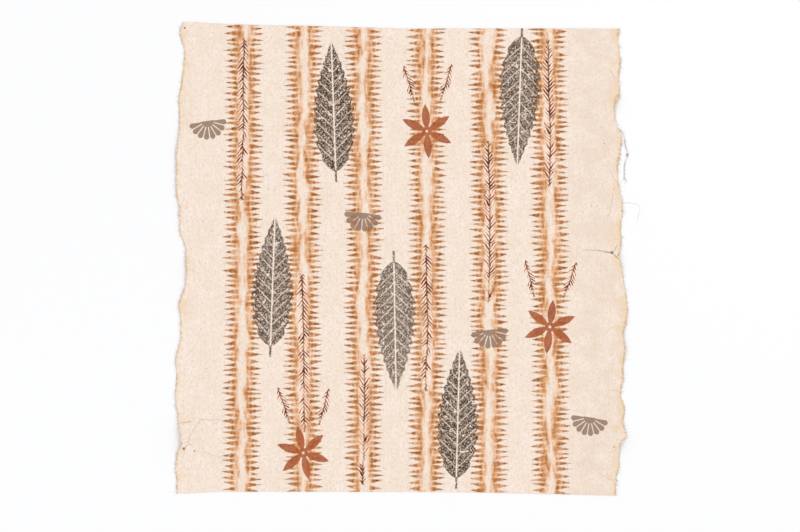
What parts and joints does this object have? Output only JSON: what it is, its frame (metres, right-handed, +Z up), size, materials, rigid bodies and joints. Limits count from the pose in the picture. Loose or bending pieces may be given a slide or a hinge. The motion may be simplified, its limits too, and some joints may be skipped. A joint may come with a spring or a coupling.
{
  "type": "tapa bark cloth",
  "caption": "Flat sheet of beaten bark cloth with torn fibrous side edges, printed with toothed bands and leaf and flower motifs, lying face up on its flat underside.",
  "frame": {"origin": "on the surface that the cloth lies on, under the middle of its outline", "axes": "+X to the right of the printed face, +Y to its top, +Z up through the cloth"},
  "size_m": [0.628, 0.639, 0.0065],
  "materials": {
    "bark": "matt felted bark bast, pale cream, with brown, rust, grey and near-black vegetable inks on its face"
  },
  "bodies": {
    "root": {"bark_cloth": "bark"}
  },
  "joints": []
}
